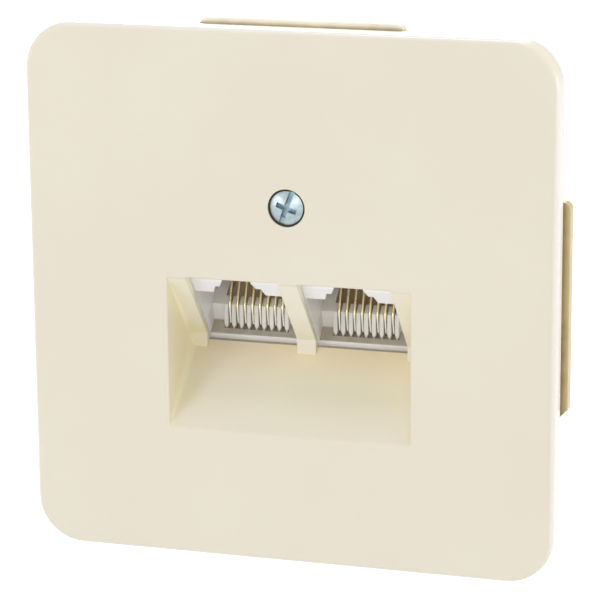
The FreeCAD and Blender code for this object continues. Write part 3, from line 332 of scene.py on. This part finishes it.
def mix(tree, fac, a, b, blend="MIX"):
    """Mix two colours; a and b are sockets or colours."""
    node = add(tree, "ShaderNodeMix", data_type="RGBA", blend_type=blend)
    if isinstance(fac, float):
        node.inputs["Factor"].default_value = fac
    else:
        tree.links.new(fac, node.inputs["Factor"])
    for name, value in (("A", a), ("B", b)):
        socket = [s for s in node.inputs if s.name == name and s.type == "RGBA"][0]
        if isinstance(value, tuple):
            socket.default_value = rgba(value)
        else:
            tree.links.new(value, socket)
    return [s for s in node.outputs if s.type == "RGBA"][0]


def tinted(tree, mask, colour, tint):
    """Multiply a colour by a tint where a mask says so."""
    return mix(tree, mask, colour, mix(tree, 1.0, colour, tint, blend="MULTIPLY"))


def bump(tree, height, distance, under=None):
    """Bump of a real height in metres, over another normal if given."""
    node = add(tree, "ShaderNodeBump", Strength=1.0, Distance=distance)
    tree.links.new(height, node.inputs["Height"])
    if under:
        tree.links.new(under, node.inputs["Normal"])
    return node.outputs["Normal"]


def soft_edges(tree, radius=EDGE_R):
    """Normal rounded over sharp edges."""
    return add(tree, "ShaderNodeBevel", samples=4, Radius=radius).outputs["Normal"]


def edge_wear(tree, where):
    """Patchy mask along edges, where a finish is rubbed thin."""
    turn = add(tree, "ShaderNodeVectorMath", operation="DOT_PRODUCT")
    tree.links.new(soft_edges(tree, WEAR_R), turn.inputs[0])
    tree.links.new(add(tree, "ShaderNodeNewGeometry").outputs["Normal"], turn.inputs[1])
    edge = remap(tree, turn.outputs["Value"], 1.0, 0.0, start=0.75, end=0.97)
    patchy = remap(tree, noise(tree, where, WEAR_SIZE, detail=5.0), 0.2, 1.0, start=0.4, end=0.6)
    return both(tree, edge, patchy)


def new_material(name, metallic, **sockets):
    """Material with a Principled shader; returns it, its tree and the shader."""
    material = bpy.data.materials.new(name)
    material.use_nodes = True
    tree = material.node_tree
    shader = tree.nodes["Principled BSDF"]
    shader.inputs["Metallic"].default_value = metallic
    for socket, value in sockets.items():
        shader.inputs[socket.replace("_", " ")].default_value = value
    return material, tree, shader


# ================================================================ materials
def moulded_colour(tree, where, colour, shade):
    """Faint flow marks and specks."""
    flow = noise(tree, where, FLOW_SIZE, detail=2.0)
    speck = noise(tree, where, SPECK_SIZE, detail=5.0)
    marks = ramp(tree, flow, [(0.35, shade), (0.6, colour)])
    return mix(tree, remap(tree, speck, 0.0, 0.10), marks, shade)


def moulded_surface(tree, where, shader, rough, grain=GRAIN_SIZE, height=GRAIN_HEIGHT):
    """Fine grain, slow sink marks and a few rubbed patches."""
    rub = noise(tree, where, RUB_SIZE, detail=6.0)
    tree.links.new(remap(tree, rub, rough - 0.06, rough + 0.08), shader.inputs["Roughness"])
    fine = bump(tree, noise(tree, where, grain, detail=3.0), height, under=soft_edges(tree))
    wide = bump(tree, noise(tree, where, SINK_SIZE, detail=1.0), SINK_HEIGHT, under=fine)
    tree.links.new(wide, shader.inputs["Normal"])


def moulded_plastic(name, colour, shade, rough, grain=GRAIN_SIZE, height=GRAIN_HEIGHT):
    """Injection-moulded plastic."""
    material, tree, shader = new_material(name, 0.0)
    where = object_coordinates(tree)
    tree.links.new(moulded_colour(tree, where, colour, shade), shader.inputs["Base Color"])
    moulded_surface(tree, where, shader, rough, grain, height)
    return material


def recess_floor(tree, across, depth, z):
    """Mask of the recess's floor, a plane that climbs inwards."""
    climb = math_node(tree, "MULTIPLY", depth, FLOOR_RISE)
    over_floor = math_node(tree, "SUBTRACT", math_node(tree, "SUBTRACT", z, OPENING_BOTTOM), climb)
    return both(tree, below(tree, over_floor, FLOOR_SKIN),
                below(tree, across, OPENING_HALF - WALL_INSET, soft=1 * MM))


def recess_light_and_shade(tree, where, colour):
    """Painted light and shade set by the photograph: on the recess's floor, its inner end, side walls,
    ribs, left corner.

    They have no limit behind, so they also show on the plate's back: a paler band above the opening
    and a thin yellow line in line with each side wall.
    """
    x, y, z = split(tree, where)
    u = split(tree, slanted(tree, where))[2]
    across = math_node(tree, "ABSOLUTE", x)
    depth = math_node(tree, "SUBTRACT", y, PLATE_FACE)
    on_floor = recess_floor(tree, across, depth, z)
    deep = both(tree, on_floor, above(tree, x, DEEP_X, soft=12 * MM),
                above(tree, depth, DEEP_DEPTH, soft=7 * MM))
    inner = both(tree, on_floor, above(tree, depth, INNER_DEPTH, soft=3 * MM))
    wall = both(tree, above(tree, across, OPENING_HALF - WALL_INSET, soft=1 * MM),
                below(tree, across, OPENING_HALF + WALL_SKIN),
                above(tree, depth, WALL_DEPTH, soft=0.8 * MM))
    ribs = both(tree, below(tree, across, OPENING_HALF - WALL_SKIN), above(tree, depth, RIB_DEPTH),
                above(tree, u, RIB_U, soft=5 * MM))
    corner = both(tree, above(tree, x, WALL_SKIN - OPENING_HALF),
                  below(tree, x, CORNER_WIDTH - OPENING_HALF, soft=2 * MM),
                  above(tree, depth, CORNER_DEPTH, soft=2 * MM), below(tree, u, CORNER_U, soft=3 * MM))
    # Painted light on the deep floor and upper ribs, painted shade at the inner end and left corner,
    # painted warm bounce light on the side walls.
    tints = ((deep, DEEP_LIGHT_TINT), (inner, INNER_SHADE_TINT), (wall, WALL_BOUNCE_LIGHT_TINT), (ribs, RIB_LIGHT_TINT),
             (corner, CORNER_SHADE_TINT))
    for mask, tint in tints:
        colour = tinted(tree, mask, colour, tint)
    return colour


def cover_plastic():
    """Cream plate: satin face, polished flanks painted whiter as painted light, painted light and shade in
    the recess, grime and painted shade round the screw.
    """
    material, tree, shader = new_material("cover_plastic", 0.0, Specular_IOR_Level=0.75)
    where = object_coordinates(tree)
    x, y, z = split(tree, where)
    colour = recess_light_and_shade(tree, where, moulded_colour(tree, where, CREAM, CREAM_DARK))
    # Grime and painted shade in the screw's mouth.
    from_screw = length_of(tree, x, math_node(tree, "SUBTRACT", z, SCREW_AXIS_Z))
    mouth = both(tree, below(tree, from_screw, SCREW_HEAD_R + GRIME_SHADE_REACH),
                 above(tree, y, PLATE_FACE + GRIME_SHADE_DEPTH))
    outwards = math_node(tree, "MAXIMUM", math_node(tree, "ABSOLUTE", x), math_node(tree, "ABSOLUTE", z))
    # Painted light: the flanks are painted whiter; they are also polished.
    flank = above(tree, outwards, PLATE_HALF - FLANK_DEPTH, soft=0.3 * MM)
    colour = mix(tree, flank, mix(tree, mouth, colour, GRIME_AND_SHADE), FLANK_LIT_WHITE)
    tree.links.new(colour, shader.inputs["Base Color"])
    moulded_surface(tree, where, shader, 0.38)
    face_rough = shader.inputs["Roughness"].links[0].from_socket
    polished = math_node(tree, "SUBTRACT", face_rough, math_node(tree, "MULTIPLY", flank, 0.2))
    tree.links.new(polished, shader.inputs["Roughness"])
    return material


def jack_plastic():
    """White housings, painted by the photograph: painted light on the lips, painted shade on the combs and
    on the floors of the mouths.
    """
    material, tree, shader = new_material("jack_plastic", 0.0)
    where = object_coordinates(tree)
    n, u = split(tree, slanted(tree, where))[1:]
    colour = moulded_colour(tree, where, JACK_WHITE, JACK_SHADE)
    # Painted shade on the comb between the contacts.
    comb = both(tree, above(tree, n, COMB_N), below(tree, u, OPENING_U + 0.1 * MM))
    colour = tinted(tree, comb, colour, COMB_SHADE_TINT)
    # Painted light on the lip's front face.
    lip = both(tree, below(tree, n, LIP_N), below(tree, u, MOUTH_U))
    colour = mix(tree, lip, colour, LIP_LIT_WHITE)
    # Painted shade on the floor of each mouth, in patches.
    floor_level = both(tree, above(tree, n, LIP_N), below(tree, u, MOUTH_U + 0.15 * MM, soft=0.3 * MM))
    patchy = remap(tree, noise(tree, where, MOUTH_SHADE_PATCH_SIZE, detail=4.0), 0.85, 1.0)
    tree.links.new(mix(tree, both(tree, floor_level, patchy), colour, MOUTH_FLOOR_SHADE), shader.inputs["Base Color"])
    moulded_surface(tree, where, shader, 0.32)
    return material


def plated_metal(name, stops, rough, metallic=1.0, height=0.006 * MM, stretch=None, cloud=2.5 * MM,
                 edge=None):
    """Plated or passivated metal: clouded colour, rolled or turned grain, edges worn to a colour."""
    material, tree, shader = new_material(name, metallic)
    where = object_coordinates(tree)
    clouds = ramp(tree, noise(tree, where, cloud, detail=5.0), stops)
    if edge:
        clouds = mix(tree, edge_wear(tree, where), clouds, edge)
    tree.links.new(clouds, shader.inputs["Base Color"])
    worn = noise(tree, where, SCUFF_SIZE, detail=6.0)
    tree.links.new(remap(tree, worn, rough - 0.08, rough + 0.12), shader.inputs["Roughness"])
    under = soft_edges(tree) if edge else None
    grain = noise(tree, where, ROLLED_GRAIN_SIZE, detail=4.0, stretch=stretch)
    tree.links.new(bump(tree, grain, height, under=under), shader.inputs["Normal"])
    return material


def overlay(material, mask, colour):
    """Lay a colour over a finished material where a mask says so: mask(tree, where) gives 0 to 1."""
    tree = material.node_tree
    base = tree.nodes["Principled BSDF"].inputs["Base Color"]
    under = base.links[0].from_socket
    tree.links.new(mix(tree, mask(tree, object_coordinates(tree)), under, colour), base)
    return material


def contact_gold():
    """Spring wire, gold higher up and painted a pale tone at the front bend and the tail, a painted
    reflection.
    """
    stops = [(0.3, tuple(c * 0.85 for c in GOLD)), (0.7, GOLD)]
    wire = plated_metal("contact_gold", stops, rough=0.30, cloud=0.8 * MM, height=0.002 * MM)

    def reflecting_low(tree, where):
        """The wire's front bend and tail, low in the port."""
        # Painted reflection: the pale tone goes on low in the port.
        u = split(tree, slanted(tree, where))[2]
        return below(tree, u, OPENING_U - 0.2 * MM, soft=0.9 * MM)

    return overlay(wire, reflecting_low, WIRE_REFLECTION_PALE)


def screw_zinc():
    """Blue zinc on the cover screw, with painted shade in its slot and cross and round its rim."""
    stops = [(0.35, tuple(c * 0.80 for c in ZINC_BLUE)), (0.65, ZINC_BLUE)]
    zinc = plated_metal("screw_zinc", stops, rough=0.36, cloud=0.6 * MM, height=0.004 * MM)

    def deep(tree, where):
        """Whatever of the screw lies further in than this: slot, cross, rim and shank."""
        y = split(tree, where)[1]
        return above(tree, y, PLATE_FACE + SCREW_SHADE_DEPTH, soft=0.16 * MM)

    # Painted shade on whatever of the screw lies further in.
    return overlay(zinc, deep, ZINC_SHADE)


def ring_steel():
    """Yellow-passivated zinc on rolled sheet, painted much paler on the upper tab as painted light, by the
    photograph.
    """
    stops = [(0.30, PASSIVATE_OLIVE), (0.50, PASSIVATE_YELLOW), (0.68, PASSIVATE_ROSE)]
    steel = plated_metal("ring_steel", stops, rough=0.36, metallic=0.85, stretch=(1.0, 1.0, 0.12),
                         edge=ZINC_GREY)

    def upper_tab(tree, where):
        """The upper tab, where it stands out above the plate."""
        z = split(tree, where)[2]
        return above(tree, z, PLATE_HALF - LIT_STRIP_DEPTH, soft=0.6 * MM)

    # Painted light on the upper tab.
    return overlay(steel, upper_tab, PASSIVATE_LIT_PALE)


def board_laminate(name, dark, light):
    """Green solder mask over a faint glass weave."""
    material, tree, shader = new_material(name, 0.0, Coat_Weight=0.3)
    where = object_coordinates(tree)
    clouds = noise(tree, where, 5 * MM, detail=3.0)
    tree.links.new(ramp(tree, clouds, [(0.35, dark), (0.65, light)]), shader.inputs["Base Color"])
    tree.links.new(remap(tree, noise(tree, where, 1.2 * MM), 0.28, 0.42), shader.inputs["Roughness"])
    weave = noise(tree, where, WEAVE_SIZE, detail=1.0, stretch=(1.0, 0.3, 0.3))
    tree.links.new(bump(tree, weave, WEAVE_HEIGHT, under=soft_edges(tree)), shader.inputs["Normal"])
    return material


def make_materials():
    """Every finish, by the record's material slot, and the board's traces."""
    return {
        "cover_plastic": cover_plastic(),
        "retainer_plastic": moulded_plastic("retainer_plastic", NYLON, CARRIER_WHITE, rough=0.45),
        "carrier_plastic": moulded_plastic("carrier_plastic", CARRIER_WHITE, NYLON, rough=0.5,
                                           grain=FINE_GRAIN_SIZE, height=FINE_GRAIN_HEIGHT),
        "clamp_plastic": moulded_plastic("clamp_plastic", TERMINAL_WHITE, CARRIER_WHITE, rough=0.5,
                                         grain=FINE_GRAIN_SIZE, height=FINE_GRAIN_HEIGHT),
        "terminal_plastic": moulded_plastic("terminal_plastic", TERMINAL_WHITE, NYLON, rough=0.42),
        "jack_plastic": jack_plastic(),
        "contact_insert": moulded_plastic("contact_insert", INSERT_BROWN,
                                          tuple(c * 0.6 for c in INSERT_BROWN), rough=0.5),
        "contact_gold": contact_gold(),
        "screw_zinc": screw_zinc(),
        "steel_zinc": plated_metal("steel_zinc", [(0.3, tuple(c * 0.8 for c in ZINC_GREY)),
                                                  (0.7, ZINC_GREY)],
                                   rough=0.34, cloud=1.2 * MM, edge=ZINC_BRIGHT),
        "ring_steel": ring_steel(),
        "terminal_tin": plated_metal("terminal_tin", [(0.3, tuple(c * 0.85 for c in TIN)), (0.7, TIN)],
                                     rough=0.3, cloud=0.8 * MM),
        "board_laminate": board_laminate("board_laminate", BOARD_GREEN, BOARD_GREEN_LIGHT),
        "trace": board_laminate("board_trace", TRACE_GREEN, tuple(c * 1.3 for c in TRACE_GREEN)),
    }


def dress_nodes(materials):
    """Give every CAD node the finish of its slot in the record."""
    for row in frame["record"]["subparts"]:
        node = frame["nodes"][row["node"]]
        node.data.materials.clear()
        node.data.materials.append(materials[row["material_slot"]])


# ================================================================ fine pieces, in mesh code
def piece(name, form, material, body):
    """Object from a bmesh, riding on a body and finished as a slot of the record."""
    bmesh.ops.recalc_face_normals(form, faces=form.faces)
    mesh = bpy.data.meshes.new(name)
    form.to_mesh(mesh)
    form.free()
    mesh.materials.append(material)
    made = bpy.data.objects.new(name, mesh)
    bpy.context.scene.collection.objects.link(made)
    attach(made, body)


def loft(form, sections, closed=False):
    """Skin between sections of equally many points; open ends are capped."""
    rings = [[form.verts.new(point) for point in section] for section in sections]
    pairs = list(zip(rings, rings[1:]))
    if closed:
        pairs.append((rings[-1], rings[0]))
    for low, high in pairs:
        for i in range(len(low)):
            j = (i + 1) % len(low)
            face = form.faces.new((low[i], low[j], high[j], high[i]))
            face.smooth = closed
    if not closed:
        form.faces.new(rings[0])
        form.faces.new(rings[-1])


def revolve(form, profile, place, steps=20):
    """Closed ring: a profile of (radius, height) points turned about a place's Z axis."""
    sections = []
    for step in range(steps):
        angle = 2 * math.pi * step / steps
        sections.append([place @ Vector((r * math.cos(angle), r * math.sin(angle), h)) for r, h in profile])
    loft(form, sections, closed=True)


def strip(form, points, width, height, place):
    """Flat strip along a polyline in a place's XY plane, its foot sunk a little."""
    sections = []
    for i, point in enumerate(points):
        before = (point - points[i - 1]).normalized() if i else (points[1] - point).normalized()
        after = (points[i + 1] - point).normalized() if i + 1 < len(points) else before
        middle = (before + after).normalized()
        side = Vector((-middle.y, middle.x)) * width / 2 / max(middle.dot(before), 0.5)
        corners = [(point + side, -height), (point - side, -height), (point - side, height),
                   (point + side, height)]
        sections.append([place @ Vector((at.x, at.y, level)) for at, level in corners])
    loft(form, sections)


def board_place():
    """Frame on the circuit board's back: X along the board, Y up it, Z out of it."""
    slant = Matrix.Translation(PORT_ORIGIN) @ Matrix.Rotation(PORT_TILT, 4, "X")
    lay = Matrix(((-1, 0, 0, 0), (0, 0, 1, BOARD_BACK_N), (0, 1, 0, 0), (0, 0, 0, 1)))
    return slant @ lay


def from_middle(i):
    """A pin's place in its row, in pitches from the row's middle."""
    return i - (PINS - 1) / 2


def contact_pins():
    """Every pin of both ports on the board's back: (port side, number in the port, x, u)."""
    pins = []
    for side in (-1, 1):
        for i in range(PINS):
            pins.append((side, i, side * PORT_X + from_middle(i) * CONTACT_PITCH, TAIL_ROWS[i % 2]))
    return pins


def solder_joints(materials):
    """A cone of solder round each pin's tail."""
    profile = [(r * MM, h * MM) for r, h in SOLDER_PROFILE]
    form = bmesh.new()
    place = board_place()
    for _, _, x, u in contact_pins():
        revolve(form, profile, place @ Matrix.Translation((-x, u, 0)))
    piece("solder_joints", form, materials["terminal_tin"], "base")


def board_traces(materials):
    """Copper under the solder mask: the left port to the upper strip, the right port to the lower one."""
    form = bmesh.new()
    place = board_place()
    for side, i, x, u in contact_pins():
        strip_u = BLOCK_ROWS[0] - BLOCK_HALF if side < 0 else BLOCK_ROWS[1] + BLOCK_HALF
        way = 1 if side < 0 else -1
        fan = from_middle(i) * FAN_STEP
        bend = (TAIL_ROWS[1] + TRACE_BEND) if side < 0 else (TAIL_ROWS[0] - TRACE_BEND)
        points = [Vector((-x, u)), Vector((-x, bend)), Vector((-x - fan, bend + way * abs(fan))),
                  Vector((-x - fan, strip_u + way * TRACE_END))]
        strip(form, points, TRACE_WIDTH, TRACE_HEIGHT, place)
    piece("board_traces", form, materials["trace"], "base")


def screw_thread(name, x, material, body):
    """Helical ridge on a claw screw's shank, running out at both ends."""
    turns = (THREAD_END - THREAD_START) / THREAD_PITCH
    count = int(turns * THREAD_STEPS)
    sections = []
    for step in range(count + 1):
        angle = 2 * math.pi * step / THREAD_STEPS
        fade = min(1.0, 2 * step / THREAD_STEPS, 2 * (count - step) / THREAD_STEPS)
        crest = CLAW_SCREW_R - THREAD_SINK + (THREAD_SINK + THREAD_HEIGHT) * fade
        foot = CLAW_SCREW_R - 2 * THREAD_SINK
        middle = THREAD_START + THREAD_PITCH * step / THREAD_STEPS
        half = THREAD_PITCH * THREAD_HALF
        corners = [(foot, -half), (crest, -THREAD_CREST * half), (crest, THREAD_CREST * half), (foot, half)]
        sections.append([Vector((x + r * math.cos(angle), middle + shift, r * math.sin(angle)))
                         for r, shift in corners])
    form = bmesh.new()
    loft(form, sections)
    piece(name, form, material, body)


def ejector_marks(name, places, radius, material, body):
    """Faint raised rings that a mould's ejector pins leave on a hidden face."""
    profile = [(radius - MARK_WIDTH, -MARK_HEIGHT), (radius - MARK_WIDTH / 2, MARK_HEIGHT),
               (radius, -MARK_HEIGHT)]
    form = bmesh.new()
    for place in places:
        revolve(form, profile, place, steps=28)
    piece(name, form, material, body)


def facing_back(x, y, z):
    """Frame at a point, its Z axis along +Y."""
    return Matrix.Translation((x, y, z)) @ Matrix.Rotation(-math.pi / 2, 4, "X")


def fine_pieces(materials):
    """All pieces made in this script."""
    solder_joints(materials)
    board_traces(materials)
    for side, sign in (("left", -1), ("right", 1)):
        screw_thread("claw_thread_" + side, sign * CLAW_SCREW_X, materials["steel_zinc"],
                     "claw_screw_" + side)
    corners = []
    for x, z in ((PLATE_MARK_NEAR, PLATE_MARK_FAR), (PLATE_MARK_FAR, PLATE_MARK_NEAR)):
        corners += [facing_back(sx * x, PLATE_BACK, sz * z) for sx in (-1, 1) for sz in (-1, 1)]
    ejector_marks("plate_ejector_marks", corners, PLATE_MARK_R, materials["cover_plastic"], "cover")
    flanges = [facing_back(0, FLANGE_BACK, z) for z in FLANGE_MARKS]
    ejector_marks("carrier_ejector_marks", flanges, FLANGE_MARK_R, materials["carrier_plastic"], "base")


# ================================================================ studio
def seen_directly(tree):
    """1 for camera, glossy and transmission rays, 0 for diffuse light."""
    path = add(tree, "ShaderNodeLightPath")
    glossy = add(tree, "ShaderNodeMath", operation="MAXIMUM")
    tree.links.new(path.outputs["Is Camera Ray"], glossy.inputs[0])
    tree.links.new(path.outputs["Is Glossy Ray"], glossy.inputs[1])
    direct = add(tree, "ShaderNodeMath", operation="MAXIMUM")
    tree.links.new(glossy.outputs["Value"], direct.inputs[0])
    tree.links.new(path.outputs["Is Transmission Ray"], direct.inputs[1])
    return direct.outputs["Value"]


def floor_paper():
    """Pale paper that reads as white and still takes the outlet's shadow."""
    material, tree, shader = new_material("floor_paper", 0.0, Roughness=0.9)
    shader.inputs["Base Color"].default_value = rgba((0.80, 0.80, 0.80))
    shader.inputs["Emission Color"].default_value = rgba((1.0, 1.0, 1.0))
    glow = remap(tree, seen_directly(tree), 0.0, FLOOR_GLOW, start=0.0, end=1.0)
    tree.links.new(glow, shader.inputs["Emission Strength"])
    return material


def floor():
    """One wide plane below the outlet."""
    mesh = bpy.data.meshes.new("floor")
    half = FLOOR_SIZE / 2
    level = cad_box[0][2] - FLOOR_DROP
    corners = [(-half, -half, level), (half, -half, level), (half, half, level), (-half, half, level)]
    mesh.from_pydata(corners, [], [(0, 1, 2, 3)])
    plane = bpy.data.objects.new("floor", mesh)
    bpy.context.scene.collection.objects.link(plane)
    mesh.materials.append(floor_paper())


def world():
    """Even white surroundings, seen as pure white by the camera and in reflections."""
    surroundings = bpy.data.worlds.new("studio")
    bpy.context.scene.world = surroundings
    surroundings.use_nodes = True
    tree = surroundings.node_tree
    background = tree.nodes["Background"]
    background.inputs["Color"].default_value = (1.0, 1.0, 1.0, 1.0)
    level = remap(tree, seen_directly(tree), WORLD_LEVEL, 1.0, start=0.0, end=1.0)
    tree.links.new(level, background.inputs["Strength"])


def area_light(name, place, size, power):
    """Square soft box at a place, aimed at the outlet."""
    data = bpy.data.lights.new(name, "AREA")
    data.shape = "SQUARE"
    data.size = size
    data.energy = power
    lamp = bpy.data.objects.new(name, data)
    bpy.context.scene.collection.objects.link(lamp)
    lamp.location = place
    lamp.rotation_euler = (Vector() - Vector(place)).to_track_quat("-Z", "Y").to_euler()


def lights():
    """Soft boxes in front, above, at both sides and behind: places and sizes in metres, power in watts."""
    area_light("key_box", (-0.62, -0.78, 0.10), 0.3, 1.5)
    area_light("front_box", (0.25, -0.95, 0.25), 0.5, 0.90)
    area_light("level_box", (0.10, -0.99, 0.10), 0.3, 0.76)
    area_light("top_box", (0.0, 0.0, 0.90), 0.5, 2.8)
    area_light("right_box", (0.90, -0.05, 0.10), 0.5, 3.2)
    area_light("left_box", (-0.90, -0.10, 0.10), 0.5, 0.9)
    area_light("back_box", (-0.30, 0.95, 0.20), 0.5, 1.8)


def camera():
    """Camera at the photograph's viewing angle."""
    azimuth = math.radians(CAMERA_AZIMUTH)
    elevation = math.radians(CAMERA_ELEVATION)
    roll = math.radians(CAMERA_ROLL)
    back = Vector((math.sin(azimuth) * math.cos(elevation),
                   -math.cos(azimuth) * math.cos(elevation), math.sin(elevation)))
    right = Vector((0, 0, 1)).cross(back).normalized()
    up = back.cross(right)
    rolled_right = right * math.cos(roll) + up * math.sin(roll)
    rolled_up = up * math.cos(roll) - right * math.sin(roll)
    data = bpy.data.cameras.new("camera")
    data.lens = CAMERA_LENS
    data.sensor_width = CAMERA_SENSOR
    data.clip_start = 0.01
    data.clip_end = 20.0
    eye = bpy.data.objects.new("camera", data)
    bpy.context.scene.collection.objects.link(eye)
    pose = Matrix((rolled_right, rolled_up, back)).transposed().to_4x4()
    pose.translation = Vector(CAMERA_TARGET) + back * CAMERA_DISTANCE
    eye.matrix_world = pose
    bpy.context.scene.camera = eye


# ================================================================ the scene
finishes = make_materials()
dress_nodes(finishes)
fine_pieces(finishes)
floor()
world()
lights()
camera()
bpy.context.scene.view_settings.view_transform = "Standard"
